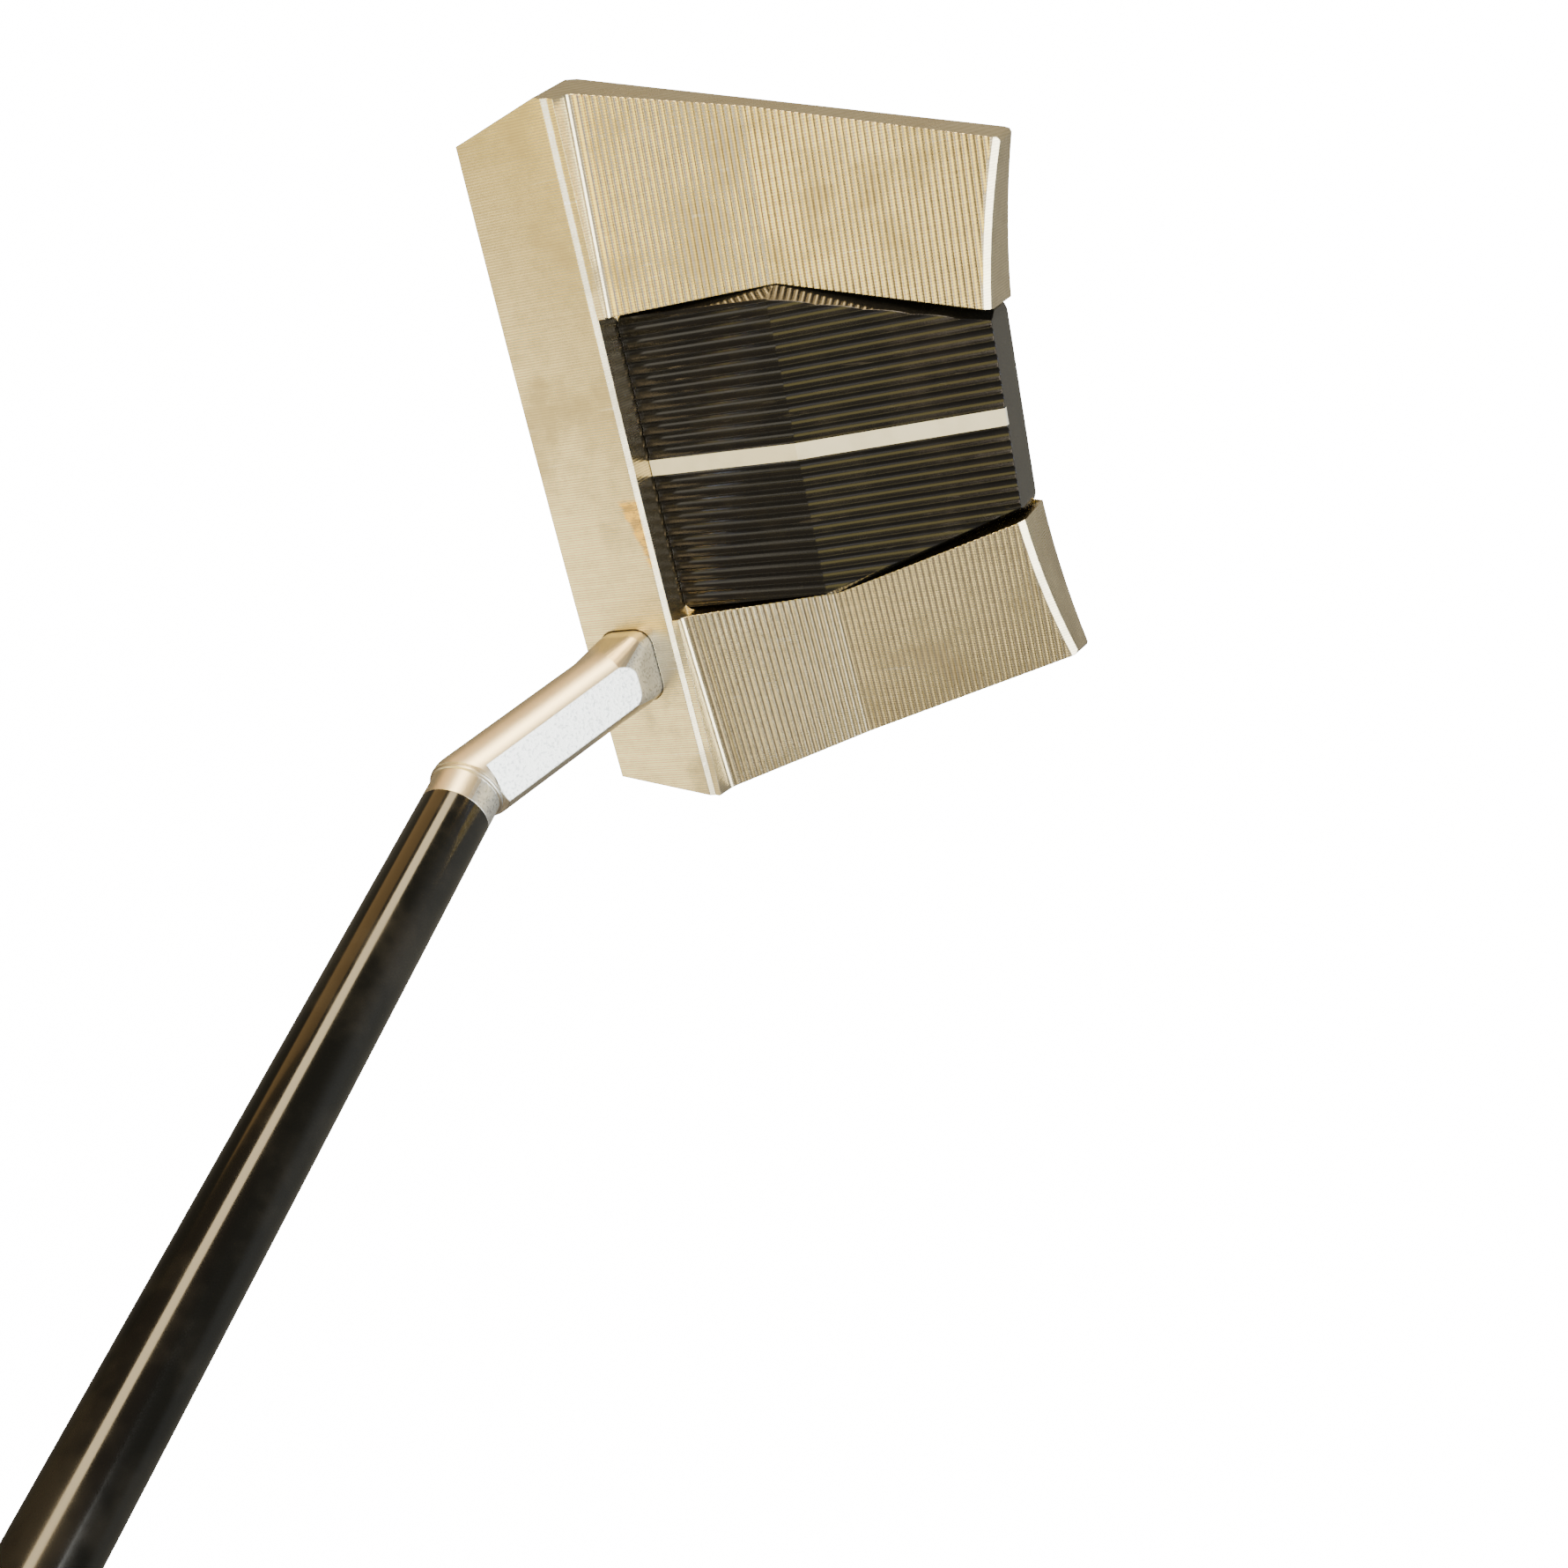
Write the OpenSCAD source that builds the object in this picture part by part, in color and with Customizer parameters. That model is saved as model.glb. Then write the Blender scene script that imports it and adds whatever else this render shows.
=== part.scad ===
// Mallet putter with a fluted centre insert, a slant neck and a slip-over steel shaft.
// +X heel, +Y back, +Z up. The origin is the middle of the flat under the sole.

/* [Head] */
// Height of the topline above the ground
top_z = 25; // [24:0.5:26]
// Half of the toe-to-heel width at the back of the topline
top_half = 47.5; // [46:0.5:49]
// Front-to-back depth of the topline
topline_d = 13.2; // [12.6:0.1:13.6]
// Radius of the crown along the topline
crown_r = 1500; // [1000:100:3000]
// Face loft in degrees
loft = 3; // [1:0.5:4]
// Half of the width across the wing tips
tail_half = 31.4; // [30:0.2:33]
// Front-to-back position of the wing tips
tail_y = 68.3; // [67.5:0.1:69]
// Radius of the hollow back edge of each wing
tail_r = 96; // [90:1:110]
// Outward fall of each wing in degrees
wing_fall = 6; // [4:0.5:7]
// Pitch of the milled wing grooves
groove_pitch = 0.87; // [0.8:0.01:0.95]
// Depth of the milled wing grooves
groove_d = 0.17; // [0.1:0.01:0.2]

/* [Insert] */
// Half width of the insert at the fold
insert_half = 20.1; // [19.5:0.1:20.3]
// Half width of the insert at its back edge
insert_tail_half = 12.9; // [12.6:0.1:13.2]
// Height of the fold of the insert
insert_z = 22.8; // [22:0.1:23.2]
// Pitch of the insert flutes
flute_pitch = 1.587; // [1.5:0.01:1.6]
// Depth of the insert flutes
flute_d = 0.42; // [0.3:0.02:0.5]
// Width of the painted sight line
sight_w = 2.1; // [1.6:0.1:2.4]

/* [Neck and shaft] */
// Lie angle of the shaft in degrees
lie = 69.4; // [68:0.2:72]
// Outside diameter of the shaft at its tip
tip_d = 9.4; // [9:0.1:9.8]
// Outside diameter of the shaft at its butt
butt_d = 15.2; // [14.5:0.1:15.6]
// Length of the shaft
shaft_l = 800; // [700:5:860]
// Wall thickness of the shaft
shaft_wall = 0.55; // [0.45:0.05:0.7]
// Diameter of the slanting arm of the neck
arm_d = 10.2; // [9.8:0.1:10.4]
// Length of the collar that the shaft butts against
collar_l = 4.5; // [3.5:0.5:6]

/* [Grip] */
// Length of the grip sleeve
grip_l = 264; // [230:2:280]
// Width of the grip at its butt
grip_butt_d = 27; // [25:0.5:30]
// Width of the grip at its lower end
grip_tip_d = 19.5; // [18.5:0.5:21]

/* [Sole weights] */
// Distance of each weight from the middle of the head
weight_x = 34.5; // [34:0.1:35]
// Outside diameter of the weight flange
weight_d = 14; // [13:0.1:14.4]
// Height of a weight
weight_h = 6.6; // [5.5:0.1:7]

/* [Hidden] */
$fn = 96;
big = 200;
eps = 0.05;

// The sole: a flat, then a rise, then a steeper kick under the tail
rest_y = 18;
sole_flat_y = 31;
sole_rise = 14.4;
kick_y = 60;
kick_z = (kick_y - sole_flat_y) * tan(sole_rise);
tail_under_z = 13.6;
blank_end_y = tail_y + 1.3;
nose_r = 2.2;
face_top_y = top_z * tan(loft);
topline_back_y = face_top_y + topline_d;
rear_bevel = 0.6;

// Toe, heel and wing edges
front_half = 43.8;
corner_y = 14.9;
edge_yaw = atan((top_half - tail_half) / (tail_y - corner_y));
end_yaw = atan((top_half - front_half) / (corner_y - face_top_y));
edge_flare = 6.5;
end_flare = 9;
under_cut = 24;
under_z = 10.5;
heel_in = 1.2;
heel_corner_r = 5;
heel_corner_x = 39.4;
cut_w = 70;

// Wing surface: it dips to a shallow fold and then runs level to the tail
wing_ref_x = 20;
fold_y = 37.6;
fold_z = 18.8;
cove_y = 17.3;
front_slope = -0.205;
rear_slope = 0.02;
front_grooves = 23;
rear_grooves = 37;
groove_steps = 4;
tail_centre = [3.7, 160.2];
tail_edge = 1.3;
corner_trim = 0.45;
tail_edge_z = fold_z + 0.55;
wing_in_x = 11;
front_wall_half = 20.2;
front_wall_top = [15.05, 24.8];
front_wall_foot = [15.75, 20.4];
cove_r = 1.2;

// Insert: a low roof with drafted sides, seated on a damping sheet
insert_front_y = 15.7;
insert_back_y = 64.1;
insert_front_slope = 0.089;
insert_rear_slope = -0.145;
insert_draft = 16;
insert_foot = 1.1;
insert_roof_tail_half = 11.4;
insert_corner_r = 1.6;
insert_tail_r = 2;
floor_end_y = 62;
side_taper = (insert_half - insert_tail_half) / (insert_back_y - fold_y);
flute_count = 12;
flute_steps = 6;
sight_depth = 0.7;
seat_z = 10.2;
damper_t = 0.8;
damper_in = 1;
fit_gap = 0.1;

// Sole plate and its screws, square to the rising sole
plate_t = 2;
plate_front_y = 34;
plate_back_y = 55;
plate_half = 14;
plate_tail_half = 9.5;
screw_r = 1.5;
screw_head_r = 2.7;
screw_head_h = 1.5;
screw_l = 9;
screw_spots = [[10, 6], [6.4, 19]];
dowel_r = 1.5;
dowel_h = 6;
dowel_spots = [[-14, 25], [14, 25]];

// Sole weights
weight_y = 15.2;
weight_lift = 0.4;
flange_h = 2;
washer_t = 0.6;
thread_r = weight_d / 2 - 1;
run_gap = 0.05;
spanner_r = 0.9;
spanner_x = 4.1;
spanner_h = 1.3;

// Neck: foot in the topline, slanting arm with a milled flat, collar and post
foot_c = [26, 7.65];
foot_size = [10.3, 7.9];
foot_r = 2.4;
foot_seat = 2;
seam_gap = 0.16;
foot_top_z = 27.3;
foot_skin = 0.1;
tenon_r = 3.6;
tenon_end_z = 11;
tip_c = [33.8, -5.6, 55.2];
shaft_dir = [cos(lie), 0, sin(lie)];
elbow = tip_c - collar_l * shaft_dir;
arm_start = [26.4, 7.2, 30];
arm_vec = elbow - arm_start;
arm_len = norm(arm_vec);
arm_tilt = acos(arm_vec[2] / arm_len);
arm_turn = atan2(arm_vec[1], arm_vec[0]);
flat_tilt = atan2(-arm_vec[1], arm_vec[2]);
flat_h = 4.1;
flat_stop = 2.6;
lip_r = 0.35;
post_l = 25;
post_r = tip_d / 2 - shaft_wall - run_gap;
neck_screw_r = 1.5;
neck_screw_head_r = 2.75;
neck_screw_seat_z = 5;
neck_screw_l = 14;

// Shaft: parallel tip, one smooth taper, parallel butt
tip_straight = 250;
butt_straight = 280;

// Grip along the shaft
tape_t = 0.2;
grip_start = shaft_l - grip_l + 3;
cap_t = 5;
vent_r = 1.4;
grip_flat = 0.9;
grip_ribs = 34;
rib_d = 0.5;
rib_start = 30;
thumb_lean = 0.9;

function scallop(y0, z0, slope, pitch, count, depth, steps) = [
    for (i = [0 : count - 1], k = [0 : steps - 1])
        let (t = k / steps, y = pitch * (i + t))
        [y0 + y, z0 + slope * y - depth * (1 - pow(2 * t - 1, 2))]];

module head_frame() {
    translate([0, -rest_y, 0]) children();
}

module along_x(length) {
    rotate([90, 0, 90]) linear_extrude(length) children();
}

// Everything outside a plane through p: yaw turns it in plan, tilt leans its top inwards
module beyond(p, yaw, tilt) {
    translate(p)
        rotate([0, 0, yaw])
        rotate([0, -tilt, 0])
        translate([0, -cut_w, -cut_w / 2]) cube([cut_w / 2, 2 * cut_w, cut_w]);
}

module both_sides() {
    children();
    mirror([1, 0, 0]) children();
}

module rounded_block(size, r, h) {
    linear_extrude(h) {
        square([size[0], size[1] - 2 * r], center = true);
        square([size[0] - 2 * r, size[1]], center = true);
        for (x = [-1, 1], y = [-1, 1])
            translate([x * (size[0] / 2 - r), y * (size[1] / 2 - r)]) circle(r);
    }
}

module on_shaft() {
    translate(tip_c) rotate([0, 90 - lie, 0]) children();
}

// Side view of the blank: lofted face, flat sole, rise to the tail
module blank_profile() {
    spare = 5;
    polygon(concat(
        [[sole_flat_y, 0], [kick_y, kick_z], [blank_end_y, tail_under_z], [blank_end_y, top_z + spare]],
        [[face_top_y + spare * tan(loft), top_z + spare]],
        [for (a = [90 : -15 : 0]) [nose_r * (1 - sin(a) + tan(loft)), nose_r * (1 - cos(a))]]));
}

// Plan of the blank, wider than the finished ends, with the heel corner rounded
module blank_plan() {
    side = top_half + 4;
    polygon([
        [-side, 0], [heel_corner_x, 0],
        for (a = [10 : 10 : 80]) [heel_corner_x + heel_corner_r * sin(a), heel_corner_r * (1 - cos(a))],
        [side, heel_corner_r], [side, tail_y + 4], [-side, tail_y + 4]]);
}

module crown() {
    translate([0, -big / 4, top_z - crown_r]) rotate([-90, 0, 0]) {
        cylinder(r = crown_r, h = big / 4 + topline_back_y, $fn = 1440);
        translate([0, 0, big / 4 + topline_back_y])
            cylinder(r1 = crown_r, r2 = crown_r - rear_bevel, h = rear_bevel, $fn = 1440);
        cylinder(r = crown_r - rear_bevel, h = big, $fn = 1440);
    }
}

// Frame whose XY plane leans with the right-hand wing
module on_wing() {
    pivot = [wing_ref_x, 0, fold_z];
    translate(pivot) rotate([0, wing_fall, 0]) translate(-pivot) children();
}

// Space above one wing: cove behind the topline, front grooves, fold, rear grooves
module above_wing() {
    front_z = fold_z - front_slope * (fold_y - cove_y);
    front_pitch = (fold_y - cove_y) / front_grooves;
    rear_end = fold_y + groove_pitch * rear_grooves;
    rise = 9;
    on_wing() translate([wing_in_x, 0, 0]) along_x(top_half - wing_in_x + 6)
        polygon(concat(
            [[cove_y - cove_r - 0.8, front_z + rise]],
            [for (a = [75 : -15 : 15]) [cove_y - cove_r * sin(a), front_z + cove_r * (1 - cos(a))]],
            scallop(cove_y, front_z, front_slope, front_pitch, front_grooves, groove_d, groove_steps),
            scallop(fold_y, fold_z, rear_slope, groove_pitch, rear_grooves, groove_d, groove_steps),
            [[rear_end, fold_z], [rear_end, front_z + rise]]));
}

module tail_curve() {
    translate([tail_centre[0], tail_centre[1], 0]) children();
}

// Points that round the corner b of a path a, b, c
function rounded_corner(a, b, c, r) =
    let (u = (a - b) / norm(a - b), v = (c - b) / norm(c - b), half = acos(u * v) / 2)
    let (p = b + u * r / tan(half), q = b + v * r / tan(half))
    let (m = b + (u + v) / norm(u + v) * r / sin(half))
    [for (k = [0 : 0.2 : 1]) let (w = p + (q - p) * k - m) m + w / norm(w) * r];

module insert_plan(grow, back, tail_corner_r) {
    front = insert_front_y - grow;
    end = insert_back_y + back;
    w = insert_half + grow;
    t = insert_tail_half + grow - back * side_taper;
    waist = [w, fold_y + grow];
    right = concat(
        rounded_corner([0, front], [w, front], waist, insert_corner_r),
        [waist],
        rounded_corner(waist, [t, end], [0, end], tail_corner_r));
    polygon(concat(right, [for (i = [len(right) - 1 : -1 : 0]) [-right[i][0], right[i][1]]]));
}

// Leans the wall in front of the insert back a little from the bevel behind the topline
module front_wall_cut() {
    lean = front_wall_top - front_wall_foot;
    translate([-front_wall_half, 0, 0]) along_x(2 * front_wall_half)
        polygon([
            front_wall_foot, front_wall_foot + [2, 0],
            front_wall_top + [3, 5], front_wall_top + 0.3 * lean]);
}

module weight_pocket() {
    translate([weight_x, weight_y, -1]) {
        cylinder(r = weight_d / 2 + run_gap, h = 1 + weight_lift + flange_h + washer_t);
        cylinder(r = thread_r + run_gap, h = 1 + weight_lift + weight_h + 0.6);
    }
}

module on_sole_rise() {
    translate([0, sole_flat_y, 0]) rotate([sole_rise, 0, 0]) children();
}

module plate_plan(grow) {
    y1 = plate_front_y - sole_flat_y;
    y2 = plate_back_y - sole_flat_y;
    polygon([
        [-plate_half - grow, y1 - grow], [plate_half + grow, y1 - grow],
        [plate_tail_half + grow, y2 + grow], [-plate_tail_half - grow, y2 + grow]]);
}

module at_screws() {
    for (s = [-1, 1], p = screw_spots) translate([s * p[0], p[1], 0]) children();
}

module dowels() {
    for (p = dowel_spots) translate([p[0], p[1], seat_z - dowel_h / 2]) cylinder(r = dowel_r, h = dowel_h);
}

module at_foot(z) {
    translate([foot_c[0], foot_c[1], z]) children();
}

module tail_cut() {
    tail_curve() translate([0, 0, -1]) cylinder(r = tail_r, h = top_z + 5, $fn = 720);
}

// Bevels the top edge of the hollow back of a wing, with softened bevel ends
module tail_bevel() {
    r = tail_edge;
    lead = 0.5;
    reach = 8;
    soft = 0.15 * r;
    on_wing() tail_curve() translate([0, 0, tail_edge_z]) rotate_extrude($fn = 720)
        polygon([
            [0, -r - lead], [tail_r - lead * tan(15), -r - lead],
            [tail_r + soft, 2 * soft - r], [tail_r + r - 2 * soft, -soft],
            [tail_r + r, 0], [tail_r + reach, 0.3], [tail_r + reach, 4], [0, 4]]);
}

// Takes the sharp outer corner off a wing tip
module tip_trim() {
    yaw = edge_yaw + 45;
    beyond([tail_half - corner_trim * cos(yaw), tail_y - corner_trim * sin(yaw), fold_z], yaw, edge_flare);
}

module head_body() {
    color("silver") head_frame() difference() {
        intersection() {
            translate([-top_half - 8, 0, 0]) along_x(2 * top_half + 16) blank_profile();
            linear_extrude(top_z + 10) blank_plan();
            crown();
        }
        both_sides() beyond([top_half, corner_y, fold_z], edge_yaw, edge_flare);
        both_sides() beyond([top_half, corner_y, under_z], edge_yaw, -under_cut);
        mirror([1, 0, 0]) beyond([top_half, corner_y, top_z], -end_yaw, end_flare);
        beyond([top_half - heel_in, corner_y, top_z], -end_yaw, end_flare);
        both_sides() beyond([top_half + 0.6, corner_y, under_z], -end_yaw, -under_cut);
        both_sides() above_wing();
        front_wall_cut();
        both_sides() tail_cut();
        both_sides() tail_bevel();
        both_sides() tip_trim();
        translate([0, 0, seat_z]) linear_extrude(20) insert_plan(fit_gap, 10, insert_tail_r);
        translate([-insert_tail_half, floor_end_y, 0]) cube([2 * insert_tail_half, big, big / 4]);
        at_foot(top_z - foot_seat)
            rounded_block(foot_size + 2 * [seam_gap, seam_gap], foot_r + seam_gap, 10);
        at_foot(tenon_end_z) cylinder(r = tenon_r + run_gap, h = 20);
        at_foot(-1) cylinder(r = neck_screw_head_r + 0.2, h = 1 + neck_screw_seat_z);
        at_foot(1) cylinder(r = neck_screw_r + 0.1, h = 20);
        both_sides() weight_pocket();
        on_sole_rise() translate([0, 0, -4]) linear_extrude(4 + plate_t + eps) plate_plan(fit_gap);
        on_sole_rise() at_screws() cylinder(r = screw_r + 0.1, h = 15);
        dowels();
    }
}

// Upper faces of the insert: a fluted slab lying on each slope
module fluted_slab(slope, length) {
    slab_h = 30;
    start = sight_w / 2 + 0.25;
    right = scallop(start, 0, 0, flute_pitch, flute_count, flute_d, flute_steps);
    end_x = start + flute_pitch * flute_count;
    profile = concat([[end_x + 5, -slab_h], [end_x + 5, -flute_d], [end_x, 0]],
        [for (i = [len(right) - 1 : -1 : 0]) right[i]],
        [for (p = right) [-p[0], p[1]]],
        [[-end_x, 0], [-end_x - 5, -flute_d], [-end_x - 5, -slab_h]]);
    rotate([atan(slope), 0, 0]) rotate([90, 0, 0]) translate([0, 0, -length / 2])
        linear_extrude(length) polygon(profile);
}

module insert_roof() {
    for (s = [[insert_front_slope, 1], [insert_rear_slope, -1]])
        intersection() {
            translate([0, fold_y, insert_z]) fluted_slab(s[0], big / 2);
            translate([-big / 4, fold_y - (s[1] > 0 ? big / 2 : 0), 0]) cube([big / 2, big / 2, big / 4]);
        }
}

module insert_side_trims() {
    side_yaw = atan((insert_half - insert_roof_tail_half) / (insert_back_y - fold_y));
    foot_z = insert_z - insert_foot / tan(insert_draft);
    both_sides() {
        beyond([insert_half, fold_y, foot_z], 0, insert_draft);
        beyond([insert_half, fold_y, foot_z], side_yaw, insert_draft);
    }
}

module centre_insert() {
    base_z = seat_z + damper_t;
    color("dimgray") head_frame() difference() {
        intersection() {
            translate([0, 0, base_z]) linear_extrude(big / 8) insert_plan(0, 0, insert_tail_r);
            insert_roof();
        }
        insert_side_trims();
        sight_groove(1);
        on_sole_rise() at_screws() cylinder(r = screw_r, h = screw_l + 1.2);
        dowels();
    }
}

function roof_z(y) = insert_z + (y < fold_y ? insert_front_slope : insert_rear_slope) * (y - fold_y);

module sight_groove(above) {
    ys = [insert_front_y, fold_y, insert_back_y];
    translate([-sight_w / 2, 0, 0]) along_x(sight_w) polygon(concat(
        [for (y = ys) [y, roof_z(y) + above]],
        [for (i = [2 : -1 : 0]) [ys[i], roof_z(ys[i]) - sight_depth]]));
}

module sight_line() {
    color("ivory") head_frame() sight_groove(0);
}

module insert_damper() {
    color("black") head_frame() difference() {
        translate([0, 0, seat_z]) linear_extrude(damper_t)
            insert_plan(-damper_in, floor_end_y - insert_back_y - damper_in, insert_tail_r);
        on_sole_rise() at_screws() cylinder(r = screw_r + 0.4, h = 20);
        dowels();
    }
}

module insert_dowels() {
    color("gray") head_frame() dowels();
}

module sole_plate() {
    color("dimgray") head_frame() on_sole_rise() difference() {
        linear_extrude(plate_t) plate_plan(0);
        at_screws() {
            translate([0, 0, -eps]) cylinder(r1 = screw_head_r + eps, r2 = screw_r, h = screw_head_h + eps);
            cylinder(r = screw_r, h = plate_t + 1);
        }
    }
}

module sole_screws() {
    socket_r = 1.15;
    color("gray") head_frame() on_sole_rise() at_screws() difference() {
        union() {
            cylinder(r1 = screw_head_r, r2 = screw_r, h = screw_head_h);
            cylinder(r = screw_r, h = screw_l);
        }
        translate([0, 0, -eps]) cylinder(r = socket_r, h = 1.1, $fn = 6);
    }
}

module sole_weight() {
    color("silver") difference() {
        union() {
            translate([0, 0, weight_lift]) cylinder(r = weight_d / 2, h = flange_h);
            translate([0, 0, weight_lift]) cylinder(r = thread_r, h = weight_h);
        }
        for (x = [-spanner_x, spanner_x])
            translate([x, 0, -1]) cylinder(r = spanner_r, h = 1 + weight_lift + spanner_h);
    }
}

module weight_washer() {
    color("black") translate([0, 0, weight_lift + flange_h]) difference() {
        cylinder(r = weight_d / 2 - 0.1, h = washer_t);
        translate([0, 0, -1]) cylinder(r = thread_r + run_gap / 2, h = washer_t + 2);
    }
}

module toe_weight() {
    head_frame() translate([-weight_x, weight_y, 0]) sole_weight();
}

module heel_weight() {
    head_frame() translate([weight_x, weight_y, 0]) sole_weight();
}

module toe_weight_washer() {
    head_frame() translate([-weight_x, weight_y, 0]) weight_washer();
}

module heel_weight_washer() {
    head_frame() translate([weight_x, weight_y, 0]) weight_washer();
}

module on_arm() {
    translate(arm_start) rotate([0, 0, arm_turn]) rotate([0, arm_tilt, 0]) children();
}

module neck_arm() {
    difference() {
        union() {
            hull() {
                at_foot(foot_top_z - foot_skin) rounded_block(foot_size, foot_r, foot_skin, $fn = 32);
                on_arm() cylinder(r = arm_d / 2, h = 3, $fn = 48);
            }
            on_arm() cylinder(r = arm_d / 2, h = arm_len);
            translate(elbow) sphere(arm_d / 2);
        }
        // The milled flat on the back, which stops short of the collar
        difference() {
            translate(arm_start) rotate([flat_tilt, 0, 0])
                translate([-big / 2, flat_h, -big / 2]) cube([big, big, big]);
            on_arm() translate([-big / 2, -big / 2, arm_len - flat_stop]) cube([big, big, big]);
        }
        translate([-big / 2, foot_c[1] + foot_size[1] / 2, 0]) cube([big, big, big]);
    }
}

module neck() {
    color("silver") head_frame() difference() {
        union() {
            at_foot(top_z - foot_seat) rounded_block(foot_size, foot_r, foot_seat + foot_top_z - top_z);
            at_foot(tenon_end_z + 0.5) cylinder(r = tenon_r, h = top_z - tenon_end_z);
            difference() {
                neck_arm();
                on_shaft() translate([0, 0, -collar_l]) cylinder(r = arm_d, h = big);
            }
            on_shaft() {
                translate([0, 0, -collar_l - 1]) cylinder(r = tip_d / 2, h = collar_l + 1);
                translate([0, 0, -collar_l + lip_r]) rotate_extrude()
                    translate([tip_d / 2, 0]) circle(lip_r, $fn = 24);
                cylinder(r = post_r, h = post_l);
            }
        }
        at_foot(0) cylinder(r = neck_screw_r, h = top_z - 2);
    }
}

module neck_screw() {
    head_h = 3;
    socket_r = 1.45;
    socket_h = 1.8;
    color("gray") head_frame() at_foot(neck_screw_seat_z) difference() {
        union() {
            translate([0, 0, -head_h]) cylinder(r = neck_screw_head_r, h = head_h);
            cylinder(r = neck_screw_r, h = neck_screw_l);
        }
        translate([0, 0, -head_h - 1]) cylinder(r = socket_r, h = 1 + socket_h, $fn = 6);
    }
}

module shaft() {
    t = tip_d / 2;
    b = butt_d / 2;
    s2 = shaft_l - butt_straight;
    color("black") head_frame() on_shaft() rotate_extrude()
        polygon([
            [t - shaft_wall, 0], [t, 0], [t, tip_straight], [b, s2], [b, shaft_l],
            [b - shaft_wall, shaft_l], [b - shaft_wall, s2], [t - shaft_wall, tip_straight]]);
}

module grip_tape() {
    color("wheat") head_frame() on_shaft() translate([0, 0, grip_start + 4]) difference() {
        cylinder(r = butt_d / 2 + tape_t, h = grip_l - 10);
        translate([0, 0, -1]) cylinder(r = butt_d / 2, h = grip_l);
    }
}

// Grip: a tapered sleeve with a flat along the side that the thumbs rest on
module grip() {
    r1 = grip_tip_d / 2;
    r2 = grip_butt_d / 2;
    pitch = (grip_l - 2 * rib_start) / grip_ribs;
    color("black") head_frame() on_shaft() translate([0, 0, grip_start]) difference() {
        rotate_extrude() polygon(concat(
            [[butt_d / 2 + tape_t, 0], [r1 - 1, 0], [r1, 1.5]],
            [for (i = [0 : grip_ribs - 1], k = [0, 0.5])
                let (z = rib_start + pitch * (i + k)) [r1 + (r2 - r1) * z / grip_l - (k > 0 ? rib_d : 0), z]],
            [[r2 - 1, grip_l - 20], [r2, grip_l - 3], [butt_d / 2 + tape_t, grip_l - 3]]));
        translate([-big - r1 * grip_flat, -big / 2, 20]) rotate([0, -thumb_lean, 0])
            cube([big, big, grip_l * 2]);
    }
}

module grip_cap() {
    r2 = grip_butt_d / 2;
    color("black") head_frame() on_shaft() translate([0, 0, grip_start + grip_l - 3]) difference() {
        rotate_extrude() polygon([
            [vent_r, 0], [r2, 0], [r2, cap_t - 2],
            [r2 - 0.6, cap_t - 0.6], [r2 - 2, cap_t], [vent_r, cap_t]]);
        translate([-big - grip_tip_d / 2 * grip_flat - 4, -big / 2, -1]) cube([big, big, cap_t * 2]);
    }
}

head_body();
centre_insert();
sight_line();
insert_damper();
insert_dowels();
sole_plate();
sole_screws();
toe_weight();
toe_weight_washer();
heel_weight();
heel_weight_washer();
neck();
neck_screw();
shaft();
grip_tape();
grip();
grip_cap();
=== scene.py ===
import math

import bpy
from mathutils import Matrix, Vector


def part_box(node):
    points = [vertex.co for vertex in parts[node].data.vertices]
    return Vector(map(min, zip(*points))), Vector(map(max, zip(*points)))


# Mallet putter: milled steel head, black fluted insert, slant neck, gloss black shaft
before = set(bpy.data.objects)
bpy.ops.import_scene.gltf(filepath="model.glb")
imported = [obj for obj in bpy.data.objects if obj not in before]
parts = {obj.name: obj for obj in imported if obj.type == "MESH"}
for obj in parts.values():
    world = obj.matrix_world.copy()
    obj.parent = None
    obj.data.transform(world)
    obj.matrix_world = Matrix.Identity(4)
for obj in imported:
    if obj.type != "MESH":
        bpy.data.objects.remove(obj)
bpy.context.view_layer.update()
print("frame loaded with", len(parts), "pieces")

bevelSamples = 6


# Small node helpers
def addNode(tree, kind, **values):
    node = tree.nodes.new(kind)
    for name, value in values.items():
        setattr(node, name, value)
    return node


def wire(tree, source, target):
    tree.links.new(source, target)


def mathNode(tree, operation, first, second=None, third=None):
    node = addNode(tree, "ShaderNodeMath", operation=operation)
    for socket, value in zip(node.inputs, (first, second, third)):
        if value is None:
            continue
        if isinstance(value, (int, float)):
            socket.default_value = value
        else:
            wire(tree, value, socket)
    return node.outputs[0]


def mixColour(tree, factor, first, second):
    node = addNode(tree, "ShaderNodeMix", data_type="RGBA")
    for socket, value in ((node.inputs[0], factor), (node.inputs[6], first), (node.inputs[7], second)):
        if isinstance(value, (int, float)):
            socket.default_value = value
        elif isinstance(value, tuple):
            socket.default_value = (*value, 1)
        else:
            wire(tree, value, socket)
    return node.outputs[2]


# Lays the second colour over the first where the mask is set, at a share of its strength
def layOver(tree, mask, share, first, second):
    return mixColour(tree, mathNode(tree, "MULTIPLY", mask, share), first, second)


def stretch(tree, source, low, high, newLow=0.0, newHigh=1.0):
    node = addNode(tree, "ShaderNodeMapRange", interpolation_type="SMOOTHSTEP")
    wire(tree, source, node.inputs["Value"])
    for name, value in (("From Min", low), ("From Max", high), ("To Min", newLow), ("To Max", newHigh)):
        node.inputs[name].default_value = value
    return node.outputs["Result"]


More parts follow.
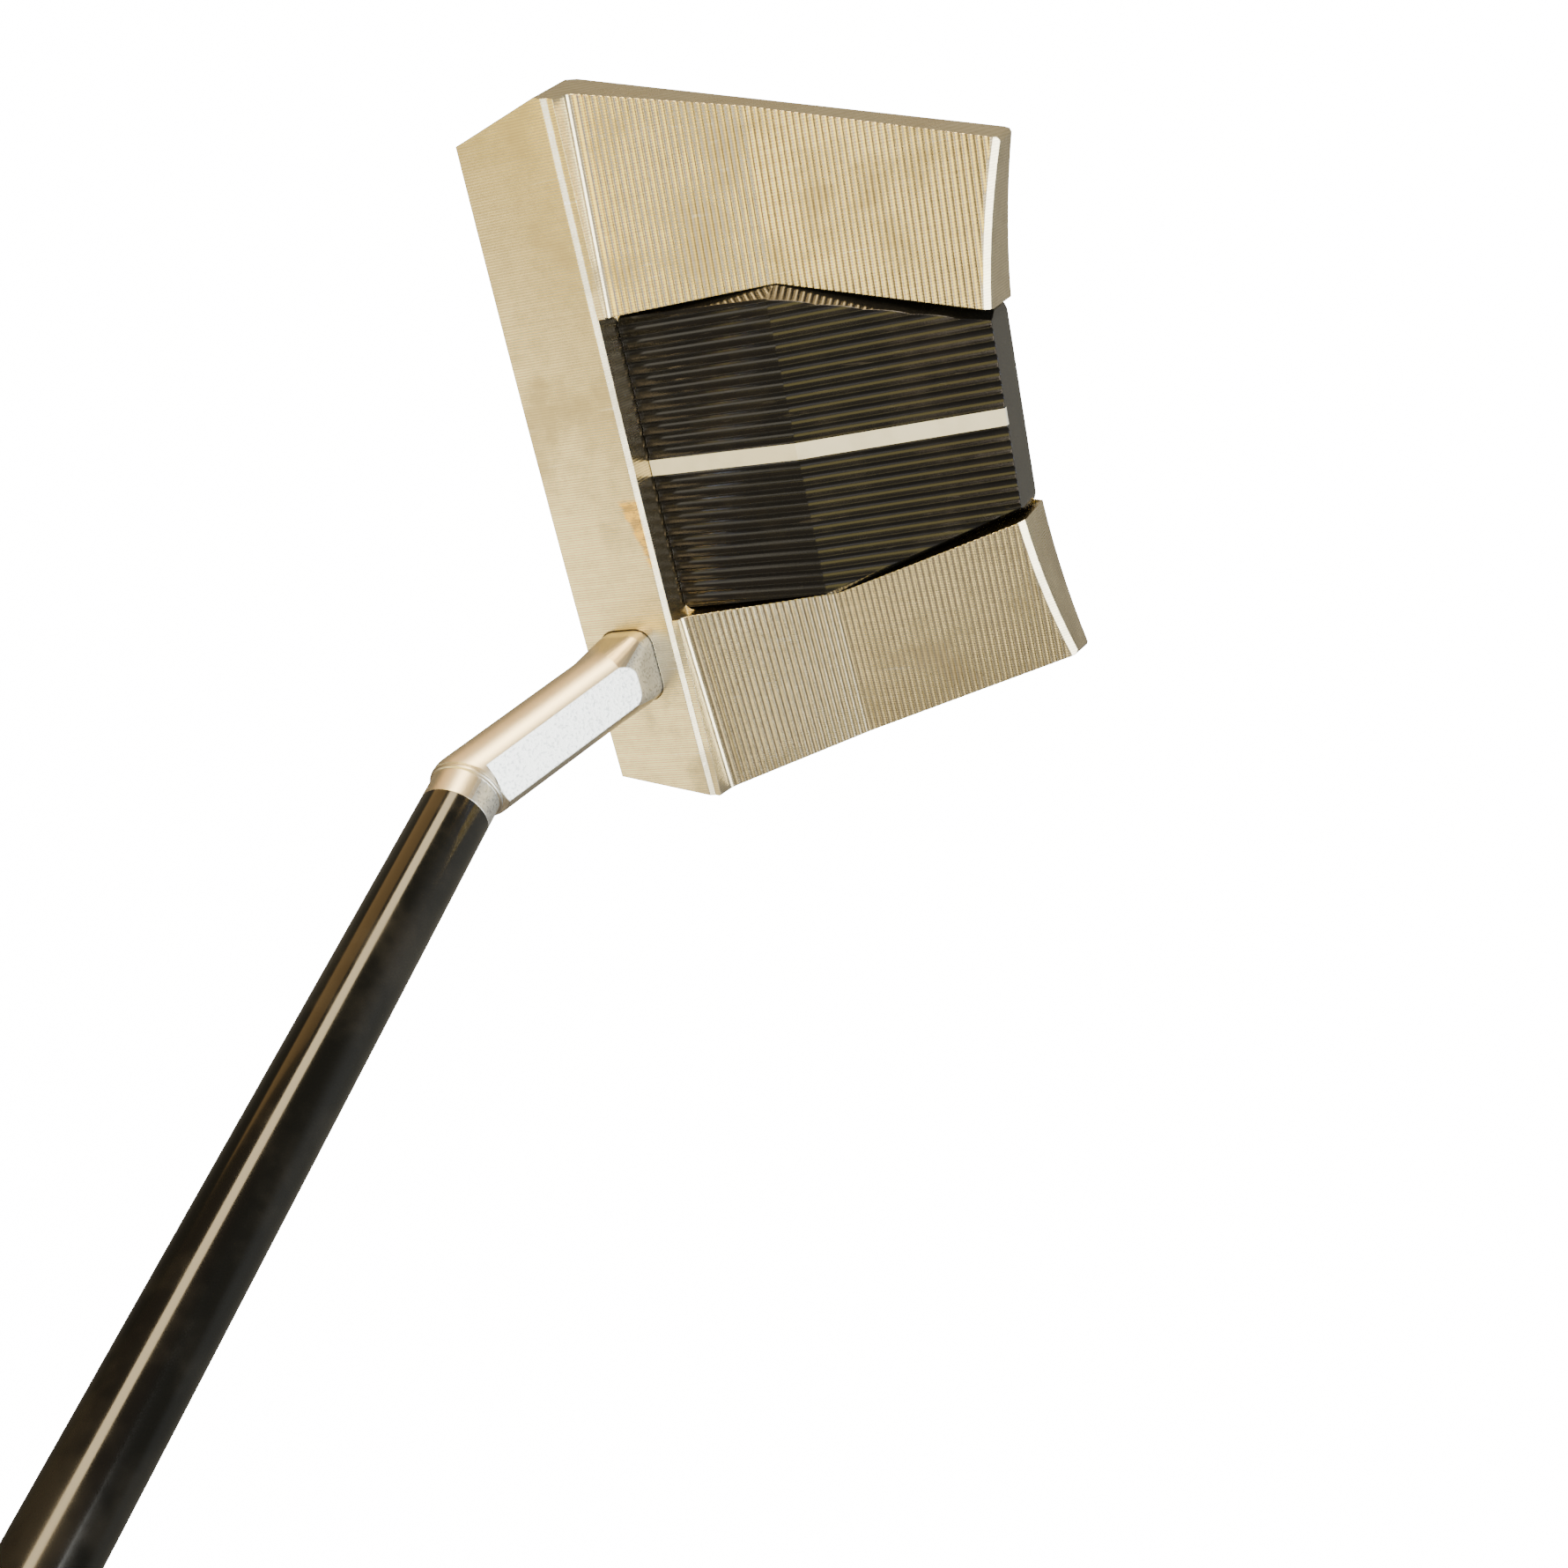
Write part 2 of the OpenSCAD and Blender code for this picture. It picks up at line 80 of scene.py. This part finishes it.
def noise(tree, vector, scale, detail=3.0, rough=0.55):
    node = addNode(tree, "ShaderNodeTexNoise")
    wire(tree, vector, node.inputs["Vector"])
    node.inputs["Detail"].default_value = detail
    node.inputs["Roughness"].default_value = rough
    if isinstance(scale, (int, float)):
        node.inputs["Scale"].default_value = scale
    else:
        wire(tree, scale, node.inputs["Scale"])
    return node.outputs["Fac"]


def scaled(tree, vector, x, y, z):
    node = addNode(tree, "ShaderNodeVectorMath", operation="MULTIPLY")
    wire(tree, vector, node.inputs[0])
    node.inputs[1].default_value = (x, y, z)
    return node.outputs[0]


def bump(tree, height, strength, distance, normal=None):
    node = addNode(tree, "ShaderNodeBump")
    node.inputs["Strength"].default_value = strength
    node.inputs["Distance"].default_value = distance
    wire(tree, height, node.inputs["Height"])
    if normal is not None:
        wire(tree, normal, node.inputs["Normal"])
    return node.outputs["Normal"]


# Normals that turn over a small radius at each sharp edge
def softEdges(tree, radius):
    node = addNode(tree, "ShaderNodeBevel", samples=bevelSamples)
    node.inputs["Radius"].default_value = radius
    return node.outputs[0]


def startGroup(name, inputs, outputs):
    tree = bpy.data.node_groups.new(name, "ShaderNodeTree")
    for label, kind, value in inputs:
        socket = tree.interface.new_socket(label, in_out="INPUT", socket_type=kind)
        if value is not None:
            socket.default_value = value
    for label in outputs:
        tree.interface.new_socket(label, in_out="OUTPUT", socket_type="NodeSocketFloat")
    return tree, addNode(tree, "NodeGroupInput").outputs, addNode(tree, "NodeGroupOutput").inputs


def useGroup(tree, group, vector, **values):
    node = addNode(tree, "ShaderNodeGroup", node_tree=group)
    wire(tree, vector, node.inputs["Vector"])
    for name, value in values.items():
        node.inputs[name].default_value = value
    return node.outputs


def startMaterial(name, colour, metallic, roughness):
    material = bpy.data.materials.new(name)
    material.use_nodes = True
    material.diffuse_color = (*colour, 1)
    tree = material.node_tree
    shader = tree.nodes["Principled BSDF"]
    shader.inputs["Base Color"].default_value = (*colour, 1)
    shader.inputs["Metallic"].default_value = metallic
    shader.inputs["Roughness"].default_value = roughness
    place = addNode(tree, "ShaderNodeTexCoord").outputs["Object"]
    return material, tree, shader, place


def paint(material, *names):
    for name in names:
        mesh = parts[name].data
        mesh.materials.clear()
        mesh.materials.append(material)


# Effects that several finishes share. A noise is given as its scale, detail and roughness.
effects = {
    "cutterPitch": 0.0003,
    "cutterWander": 0.4,
    "driftStretch": (1, 0.15, 1),
    "driftNoise": (160, 2),
    "unevenStretch": (1, 0.04, 1),
    "unevenNoise": (2600, 2),
    "waveShare": 0.35,
    "cutterShade": (0.1, 0.9),
    "markSize": 60.0,
    "smearNoise": (4, 0.62),
    "smearRange": (0.45, 0.64),
    "scratchTurn": (0.3, 0.2, 0.7),
    "scratchStretch": (1, 0.05, 1),
    "scratchNoise": (1500, 2, 0.5),
    "scratchRange": (0.68, 0.76),
    "blastGrain": 3500.0,
    "blastNoise": (2, 0.6),
    "sparkleRange": (0.5, 0.68),
    "ringPitch": 0.0002,
}


def makeCutterLines(look):
    # Fine parallel lines left by a milling cutter, across the first axis of the vector
    tree, inputs, outputs = startGroup("cutterLines", [
        ("Vector", "NodeSocketVector", None),
        ("Pitch", "NodeSocketFloat", look["cutterPitch"]),
        ("Wander", "NodeSocketFloat", look["cutterWander"])], ["Height", "Shade"])
    across = addNode(tree, "ShaderNodeSeparateXYZ")
    wire(tree, inputs["Vector"], across.inputs[0])
    drift = noise(tree, scaled(tree, inputs["Vector"], *look["driftStretch"]), *look["driftNoise"])
    steps = mathNode(tree, "DIVIDE", across.outputs["X"], inputs["Pitch"])
    steps = mathNode(tree, "ADD", steps, mathNode(tree, "MULTIPLY", drift, inputs["Wander"]))
    wave = mathNode(tree, "SINE", mathNode(tree, "MULTIPLY", steps, 2 * math.pi))
    uneven = noise(tree, scaled(tree, inputs["Vector"], *look["unevenStretch"]), *look["unevenNoise"])
    height = mathNode(tree, "MULTIPLY_ADD", wave, look["waveShare"], uneven)
    wire(tree, height, outputs["Height"])
    wire(tree, stretch(tree, height, *look["cutterShade"]), outputs["Shade"])
    return tree


def makeHandlingMarks(look):
    # Soft smears and thin scratches from use
    tree, inputs, outputs = startGroup("handlingMarks", [
        ("Vector", "NodeSocketVector", None),
        ("Size", "NodeSocketFloat", look["markSize"])], ["Smear", "Scratch"])
    smear = noise(tree, inputs["Vector"], inputs["Size"], *look["smearNoise"])
    wire(tree, stretch(tree, smear, *look["smearRange"]), outputs["Smear"])
    turned = addNode(tree, "ShaderNodeMapping")
    turned.inputs["Rotation"].default_value = look["scratchTurn"]
    turned.inputs["Scale"].default_value = look["scratchStretch"]
    wire(tree, inputs["Vector"], turned.inputs["Vector"])
    thin = noise(tree, turned.outputs[0], *look["scratchNoise"])
    wire(tree, stretch(tree, thin, *look["scratchRange"]), outputs["Scratch"])
    return tree


def makeBlastGrain(look):
    # Tiny dimples of bead blasting, moulded rubber and anodised skin
    tree, inputs, outputs = startGroup("blastGrain", [
        ("Vector", "NodeSocketVector", None),
        ("Grain", "NodeSocketFloat", look["blastGrain"])], ["Height", "Sparkle"])
    fine = noise(tree, inputs["Vector"], inputs["Grain"], *look["blastNoise"])
    wire(tree, fine, outputs["Height"])
    wire(tree, stretch(tree, fine, *look["sparkleRange"]), outputs["Sparkle"])
    return tree


def makeTurnedRings(look):
    # Concentric rings of a lathe or spot-facing tool round the Z axis of the vector
    tree, inputs, outputs = startGroup("turnedRings", [
        ("Vector", "NodeSocketVector", None),
        ("Pitch", "NodeSocketFloat", look["ringPitch"])], ["Height"])
    radius = addNode(tree, "ShaderNodeVectorMath", operation="LENGTH")
    wire(tree, scaled(tree, inputs["Vector"], 1, 1, 0), radius.inputs[0])
    rings = mathNode(tree, "DIVIDE", radius.outputs["Value"], inputs["Pitch"])
    wave = mathNode(tree, "SINE", mathNode(tree, "MULTIPLY", rings, 2 * math.pi))
    wire(tree, mathNode(tree, "MULTIPLY_ADD", wave, 0.5, 0.5), outputs["Height"])
    return tree


cutterLines = makeCutterLines(effects)
handlingMarks = makeHandlingMarks(effects)
blastGrain = makeBlastGrain(effects)
turnedRings = makeTurnedRings(effects)
print("shared effects made")


# Milled head. Each share says how strongly a mark is laid over the steel.
headLook = {
    "steel": (0.89, 0.785, 0.53),
    "dull": (0.34, 0.29, 0.21),
    "bright": (0.92, 0.91, 0.88),
    "roughness": 0.21,
    "linePitch": 0.00034,
    "lineWander": 0.5,
    "lineShare": 0.42,
    "lineRoughness": 0.05,
    "markSize": 70,
    "smearShare": 0.5,
    "smearRoughness": 0.08,
    "scratchShare": 0.35,
    "scratchDepth": -0.4,
    "mottleNoise": (430, 5, 0.7),
    "mottleRange": (0.44, 0.62),
    "mottleShare": 0.16,
    "edgeRadius": 0.00016,
    "bump": (0.22, 0.00003),
}

# Golden rub mark on the topline, in metres
rubLook = {
    "colour": (1.0, 0.62, 0.12),
    "dark": (0.50, 0.33, 0.12),
    "share": 0.9,
    "toplineDepth": 0.01451,
    "start": 0.0032,
    "length": 0.0100,
    "width": 0.0027,
    "raggedShare": 0.5,
    "raggedStretch": (1, 0.35, 1),
    "raggedNoise": (1500, 4, 0.7),
    "streaks": (0.42, 0.58),
    "frontFade": (0.0004, 0.0011),
    "endFade": (-0.06, 0.04),
    "backFade": (-0.0001, 0.0001),
    "floorFade": (0.018, 0.019),
}


def addRubMark(tree, place, steel, look):
    # A wedge against the back edge of the topline that narrows towards the heel
    axes = addNode(tree, "ShaderNodeSeparateXYZ")
    wire(tree, place, axes.inputs[0])
    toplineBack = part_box("head_body")[0][1] + look["toplineDepth"]
    ragged = noise(tree, scaled(tree, place, *look["raggedStretch"]), *look["raggedNoise"])
    along = mathNode(tree, "SUBTRACT", axes.outputs["X"], look["start"])
    along = mathNode(tree, "DIVIDE", along, look["length"])
    fromBack = mathNode(tree, "SUBTRACT", toplineBack, axes.outputs["Y"])
    reach = mathNode(tree, "MULTIPLY_ADD", along, -look["width"], look["width"])
    reach = mathNode(tree, "MULTIPLY_ADD", ragged, look["width"] * look["raggedShare"], reach)
    rub = stretch(tree, mathNode(tree, "SUBTRACT", reach, fromBack), *look["frontFade"])
    rub = mathNode(tree, "MULTIPLY", rub, stretch(tree, along, *look["endFade"]))
    rub = mathNode(tree, "MULTIPLY", rub, stretch(tree, fromBack, *look["backFade"]))
    # The last fade keeps it off the sole, which is straight below the topline
    rub = mathNode(tree, "MULTIPLY", rub, stretch(tree, axes.outputs["Z"], *look["floorFade"]))
    streaked = mixColour(tree, stretch(tree, ragged, *look["streaks"]), look["dark"], look["colour"])
    return layOver(tree, rub, look["share"], steel, streaked)


def makeHeadSteel(look, rubbed):
    material, tree, shader, place = startMaterial("headSteel", look["steel"], 1, look["roughness"])
    lines = useGroup(tree, cutterLines, place, Pitch=look["linePitch"], Wander=look["lineWander"])
    marks = useGroup(tree, handlingMarks, place, Size=look["markSize"])
    shade = layOver(tree, lines["Shade"], look["lineShare"], look["steel"], look["dull"])
    shade = layOver(tree, marks["Smear"], look["smearShare"], shade, look["dull"])
    mottle = stretch(tree, noise(tree, place, *look["mottleNoise"]), *look["mottleRange"])
    shade = layOver(tree, mottle, look["mottleShare"], shade, look["dull"])
    shade = addRubMark(tree, place, shade, rubbed)
    shade = layOver(tree, marks["Scratch"], look["scratchShare"], shade, look["bright"])
    wire(tree, shade, shader.inputs["Base Color"])
    rough = mathNode(tree, "MULTIPLY_ADD", marks["Smear"], look["smearRoughness"], look["roughness"])
    rough = mathNode(tree, "MULTIPLY_ADD", lines["Shade"], look["lineRoughness"], rough)
    wire(tree, rough, shader.inputs["Roughness"])
    rounded = softEdges(tree, look["edgeRadius"])
    height = mathNode(tree, "MULTIPLY_ADD", marks["Scratch"], look["scratchDepth"], lines["Height"])
    wire(tree, bump(tree, height, *look["bump"], rounded), shader.inputs["Normal"])
    return material


paint(makeHeadSteel(headLook, rubLook), "head_body")
print("head done")


# Neck: satin all round, with a bead-blasted flat on its back
neckLook = {
    "steel": (0.82, 0.755, 0.63),
    "dull": (0.66, 0.62, 0.55),
    "frost": (0.93, 0.95, 0.95),
    "frostDark": (0.36, 0.39, 0.42),
    "roughness": 0.37,
    "frostRoughness": 0.42,
    "grain": 2300,
    "grainShare": (0.9, 0.1),
    "sparkleShare": 0.6,
    "markSize": 120,
    "smearShare": 0.25,
    "flatFacing": (0, 1, 0),
    "flatFade": (0.80, 0.84),
    "edgeRadius": 0.0003,
    "bump": (0.6, 0.00006),
}


def makeNeckSteel(look):
    material, tree, shader, place = startMaterial("neckSteel", look["steel"], 1, look["roughness"])
    grain = useGroup(tree, blastGrain, place, Grain=look["grain"])
    marks = useGroup(tree, handlingMarks, place, Size=look["markSize"])
    shape = addNode(tree, "ShaderNodeNewGeometry")
    local = addNode(tree, "ShaderNodeVectorTransform", vector_type="NORMAL",
                    convert_from="WORLD", convert_to="OBJECT")
    wire(tree, shape.outputs["True Normal"], local.inputs[0])
    facing = addNode(tree, "ShaderNodeVectorMath", operation="DOT_PRODUCT")
    wire(tree, local.outputs[0], facing.inputs[0])
    facing.inputs[1].default_value = look["flatFacing"]
    frosted = stretch(tree, facing.outputs["Value"], *look["flatFade"])
    shade = layOver(tree, marks["Smear"], look["smearShare"], look["steel"], look["dull"])
    sparkle = layOver(tree, grain["Sparkle"], look["sparkleShare"], look["frost"], look["frostDark"])
    wire(tree, mixColour(tree, frosted, shade, sparkle), shader.inputs["Base Color"])
    rough = stretch(tree, frosted, 0, 1, look["roughness"], look["frostRoughness"])
    wire(tree, rough, shader.inputs["Roughness"])
    rounded = softEdges(tree, look["edgeRadius"])
    height = mathNode(tree, "MULTIPLY_ADD", frosted, *look["grainShare"])
    height = mathNode(tree, "MULTIPLY", grain["Height"], height)
    wire(tree, bump(tree, height, *look["bump"], rounded), shader.inputs["Normal"])
    return material


paint(makeNeckSteel(neckLook), "neck")
print("neck done")


# Black insert and sole plate
insertLook = {
    "black": (0.008, 0.008, 0.008),
    "worn": (0.016, 0.015, 0.013),
    "scratched": (0.20, 0.19, 0.17),
    "tint": (0.66, 0.72, 1.0, 1),
    "specular": 0.55,
    "roughness": 0.13,
    "grain": 5200,
    "markSize": 90,
    "smearShare": 0.5,
    "smearRoughness": 0.05,
    "scratchShare": 0.10,
    "edgeRadius": 0.0002,
    "bump": (0.06, 0.00002),
}


def makeAnodised(look):
    material, tree, shader, place = startMaterial("blackAnodised", look["black"], 0, look["roughness"])
    shader.inputs["Specular IOR Level"].default_value = look["specular"]
    shader.inputs["Specular Tint"].default_value = look["tint"]
    grain = useGroup(tree, blastGrain, place, Grain=look["grain"])
    marks = useGroup(tree, handlingMarks, place, Size=look["markSize"])
    shade = layOver(tree, marks["Smear"], look["smearShare"], look["black"], look["worn"])
    shade = layOver(tree, marks["Scratch"], look["scratchShare"], shade, look["scratched"])
    wire(tree, shade, shader.inputs["Base Color"])
    rough = mathNode(tree, "MULTIPLY_ADD", marks["Smear"], look["smearRoughness"], look["roughness"])
    wire(tree, rough, shader.inputs["Roughness"])
    rounded = softEdges(tree, look["edgeRadius"])
    wire(tree, bump(tree, grain["Height"], *look["bump"], rounded), shader.inputs["Normal"])
    return material


paint(makeAnodised(insertLook), "centre_insert", "sole_plate")
print("insert done")


# Sight line
sightLook = {
    "paint": (0.90, 0.89, 0.77),
    "shade": (0.78, 0.77, 0.66),
    "roughness": 0.34,
    "markSize": 160,
    "smearShare": 0.6,
    "brushNoise": (900, 2),
    "bump": (0.12, 0.00004),
    "coat": 0.25,
}


def makeSightPaint(look):
    material, tree, shader, place = startMaterial("sightPaint", look["paint"], 0, look["roughness"])
    marks = useGroup(tree, handlingMarks, place, Size=look["markSize"])
    shade = layOver(tree, marks["Smear"], look["smearShare"], look["paint"], look["shade"])
    wire(tree, shade, shader.inputs["Base Color"])
    brushed = bump(tree, noise(tree, place, *look["brushNoise"]), *look["bump"])
    wire(tree, brushed, shader.inputs["Normal"])
    shader.inputs["Coat Weight"].default_value = look["coat"]
    return material


paint(makeSightPaint(sightLook), "sight_line")
print("sight line done")


# Shaft
shaftLook = {
    "black": (0.004, 0.004, 0.004),
    "worn": (0.022, 0.020, 0.017),
    "roughness": 0.14,
    "markSize": 55,
    "smearShare": 0.5,
    "smearRoughness": 0.07,
    "rippleNoise": (700, 2),
    "bump": (0.04, 0.00004),
    "coat": 0.3,
    "coatRoughness": 0.04,
}


def makeShaftBlack(look):
    material, tree, shader, place = startMaterial("shaftBlack", look["black"], 0, look["roughness"])
    marks = useGroup(tree, handlingMarks, place, Size=look["markSize"])
    shade = layOver(tree, marks["Smear"], look["smearShare"], look["black"], look["worn"])
    wire(tree, shade, shader.inputs["Base Color"])
    rough = mathNode(tree, "MULTIPLY_ADD", marks["Smear"], look["smearRoughness"], look["roughness"])
    wire(tree, rough, shader.inputs["Roughness"])
    rippled = bump(tree, noise(tree, place, *look["rippleNoise"]), *look["bump"])
    wire(tree, rippled, shader.inputs["Normal"])
    shader.inputs["Coat Weight"].default_value = look["coat"]
    shader.inputs["Coat Roughness"].default_value = look["coatRoughness"]
    return material


paint(makeShaftBlack(shaftLook), "shaft")
print("shaft done")


# Grip, cap, washers and the sheet under the insert
rubberLook = {
    "grip": (0.020, 0.020, 0.021),
    "washer": (0.010, 0.010, 0.010),
    "dust": (0.075, 0.073, 0.070),
    "roughness": 0.62,
    "grain": 1800,
    "markSize": 40,
    "smearShare": 0.45,
    "smearRoughness": 0.15,
    "bump": (0.5, 0.00012),
}


def makeRubber(name, colour, look):
    material, tree, shader, place = startMaterial(name, colour, 0, look["roughness"])
    grain = useGroup(tree, blastGrain, place, Grain=look["grain"])
    marks = useGroup(tree, handlingMarks, place, Size=look["markSize"])
    shade = layOver(tree, marks["Smear"], look["smearShare"], colour, look["dust"])
    wire(tree, shade, shader.inputs["Base Color"])
    rough = mathNode(tree, "MULTIPLY_ADD", marks["Smear"], look["smearRoughness"], look["roughness"])
    wire(tree, rough, shader.inputs["Roughness"])
    wire(tree, bump(tree, grain["Height"], *look["bump"]), shader.inputs["Normal"])
    return material


gripRubber = makeRubber("gripRubber", rubberLook["grip"], rubberLook)
washerRubber = makeRubber("washerRubber", rubberLook["washer"], rubberLook)
paint(gripRubber, "grip", "grip_cap")
paint(washerRubber, "toe_weight_washer", "heel_weight_washer", "insert_damper")
print("rubber done")


# Paper tape under the grip
tapeLook = {
    "paper": (0.72, 0.66, 0.52),
    "fibre": (0.60, 0.53, 0.40),
    "roughness": 0.8,
    "fibreStretch": (1, 1, 0.2),
    "fibreNoise": (2500, 4),
    "fibreRange": (0.4, 0.65),
    "bump": (0.3, 0.00008),
}


def makeTapePaper(look):
    material, tree, shader, place = startMaterial("tapePaper", look["paper"], 0, look["roughness"])
    fibre = noise(tree, scaled(tree, place, *look["fibreStretch"]), *look["fibreNoise"])
    shade = mixColour(tree, stretch(tree, fibre, *look["fibreRange"]), look["paper"], look["fibre"])
    wire(tree, shade, shader.inputs["Base Color"])
    wire(tree, bump(tree, fibre, *look["bump"]), shader.inputs["Normal"])
    return material


paint(makeTapePaper(tapeLook), "grip_tape")
print("tape done")


# Sole weights, screws and dowels
hardwareLook = {
    "weight": (0.70, 0.69, 0.67),
    "screw": (0.40, 0.40, 0.41),
    "roughness": 0.24,
    "ringPitch": 0.00022,
    "ringRoughness": 0.10,
    "markSize": 200,
    "smearShare": 0.4,
    "smearDark": 0.7,
    "bump": (0.25, 0.00003),
}


def makeTurnedSteel(name, colour, centre, look):
    material, tree, shader, place = startMaterial(name, colour, 1, look["roughness"])
    offset = addNode(tree, "ShaderNodeVectorMath", operation="SUBTRACT")
    wire(tree, place, offset.inputs[0])
    offset.inputs[1].default_value = centre
    rings = useGroup(tree, turnedRings, offset.outputs[0], Pitch=look["ringPitch"])
    marks = useGroup(tree, handlingMarks, place, Size=look["markSize"])
    smeared = tuple(channel * look["smearDark"] for channel in colour)
    shade = layOver(tree, marks["Smear"], look["smearShare"], colour, smeared)
    wire(tree, shade, shader.inputs["Base Color"])
    rough = mathNode(tree, "MULTIPLY_ADD", rings["Height"], look["ringRoughness"], look["roughness"])
    wire(tree, rough, shader.inputs["Roughness"])
    wire(tree, bump(tree, rings["Height"], *look["bump"]), shader.inputs["Normal"])
    return material


hardware = {
    "weight": ("toe_weight", "heel_weight"),
    "screw": ("neck_screw", "sole_screws", "insert_dowels"),
}
for finish, names in hardware.items():
    for name in names:
        low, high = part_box(name)
        steel = makeTurnedSteel(name + "Steel", hardwareLook[finish], (low + high) / 2, hardwareLook)
        paint(steel, name)
print("hardware done")


# Floor, light and camera
studio = {
    "floorDrop": 0.55,
    "floorSize": 14.0,
    "floorPale": (0.19, 0.20, 0.22),
    "floorRoughness": 0.7,
    "glow": 16.0,
    "skyLow": (0.10, 0.08, 0.06),
    "skyHigh": (0.28, 0.24, 0.18),
    "skyFade": (-0.1, 0.8),
    "aim": (0.0, 0.01, 0.02),
    "lamps": [
        # name, direction from the head, distance, width, height, brightness, colour
        ("warmTop", (-0.22, -0.14, 0.96), 1.3, 0.9, 1.0, 3.6, (1.0, 0.75, 0.17)),
        ("frontFill", (0.24, -0.62, 0.75), 1.3, 0.8, 0.5, 2.6, (1.0, 0.86, 0.50)),
        ("heelTop", (0.58, -0.22, 0.80), 1.3, 0.4, 0.7, 1.5, (1.0, 0.88, 0.62)),
        ("rearStrip", (0.16, 0.94, 0.26), 1.3, 1.5, 0.62, 9.0, (0.97, 1.0, 0.97)),
        ("toeCard", (-0.78, -0.43, -0.28), 1.2, 0.8, 0.6, 1.5, (1.0, 0.58, 0.20)),
        ("backTop", (-0.10, 0.56, 0.82), 1.4, 0.8, 0.4, 2.0, (1.0, 0.97, 0.90)),
    ],
    "streak": ("shaftStreak", (-0.96, 0.18, 0.20), 1.2, 0.46, 1.6, 15, (1.0, 0.78, 0.44)),
    "shaftLine": (0.352, 0.0, 0.936),
}


# White wherever the camera looks straight at it
def glowForCamera(tree, strength):
    rays = addNode(tree, "ShaderNodeLightPath")
    return mathNode(tree, "MULTIPLY", rays.outputs["Is Camera Ray"], strength)


def makeFloor(look):
    half = look["floorSize"] / 2
    drop = -look["floorDrop"]
    mesh = bpy.data.meshes.new("floor")
    mesh.from_pydata([(-half, -half, drop), (half, -half, drop), (half, half, drop), (-half, half, drop)], [],
                     [(0, 1, 2, 3)])
    floor = bpy.data.objects.new("floor", mesh)
    bpy.context.scene.collection.objects.link(floor)
    material, tree, shader, _ = startMaterial("floorPale", look["floorPale"], 0, look["floorRoughness"])
    shader.inputs["Emission Color"].default_value = (1, 1, 1, 1)
    wire(tree, glowForCamera(tree, look["glow"]), shader.inputs["Emission Strength"])
    mesh.materials.append(material)


# The lamp's height lies along the given line, so a long one follows the shaft
def makeLamp(name, direction, distance, width, height, brightness, colour, aim, along=(0, 0, 1)):
    data = bpy.data.lights.new(name, "AREA")
    data.shape = "RECTANGLE"
    data.size = width
    data.size_y = height
    data.energy = brightness * math.pi * width * height
    data.color = colour
    lamp = bpy.data.objects.new(name, data)
    back = Vector(direction).normalized()
    side = Vector(along).cross(back).normalized()
    turn = Matrix((side, back.cross(side), back)).transposed().to_4x4()
    lamp.matrix_world = Matrix.Translation(Vector(aim) + back * distance) @ turn
    lamp.visible_camera = False
    bpy.context.scene.collection.objects.link(lamp)


def makeSky(look):
    world = bpy.data.worlds.new("softRoom")
    bpy.context.scene.world = world
    world.use_nodes = True
    tree = world.node_tree
    sky = tree.nodes["Background"]
    place = addNode(tree, "ShaderNodeTexCoord").outputs["Generated"]
    height = addNode(tree, "ShaderNodeSeparateXYZ")
    wire(tree, place, height.inputs[0])
    glow = glowForCamera(tree, 1)
    rise = stretch(tree, height.outputs["Z"], *look["skyFade"])
    shade = mixColour(tree, rise, look["skyLow"], look["skyHigh"])
    wire(tree, mixColour(tree, glow, shade, (1.0, 1.0, 1.0)), sky.inputs["Color"])
    wire(tree, mathNode(tree, "MULTIPLY_ADD", glow, look["glow"] - 1, 1), sky.inputs["Strength"])


makeFloor(studio)
for lamp in studio["lamps"]:
    makeLamp(*lamp, studio["aim"])
makeLamp(*studio["streak"], studio["aim"], studio["shaftLine"])
makeSky(studio)
print("floor and light ready")

cameraSet = {
    "place": (-0.039805, 0.104219, 0.218675),
    "ahead": (0.364993, -0.417847, -0.831976),
    "up": (-0.907358, 0.040499, -0.418403),
    "lens": 38.646,
    "sensor": 36,
    "shift": (0.00659, 0.00196),
    "nearest": 0.005,
}


def makeCamera(look):
    data = bpy.data.cameras.new("camera")
    data.lens = look["lens"]
    data.sensor_width = look["sensor"]
    data.shift_x, data.shift_y = look["shift"]
    data.clip_start = look["nearest"]
    camera = bpy.data.objects.new("camera", data)
    ahead = Vector(look["ahead"]).normalized()
    right = ahead.cross(Vector(look["up"])).normalized()
    up = right.cross(ahead)
    turn = Matrix((right, up, -ahead)).transposed().to_4x4()
    camera.matrix_world = Matrix.Translation(look["place"]) @ turn
    bpy.context.scene.collection.objects.link(camera)
    bpy.context.scene.camera = camera


makeCamera(cameraSet)
print("camera ready")
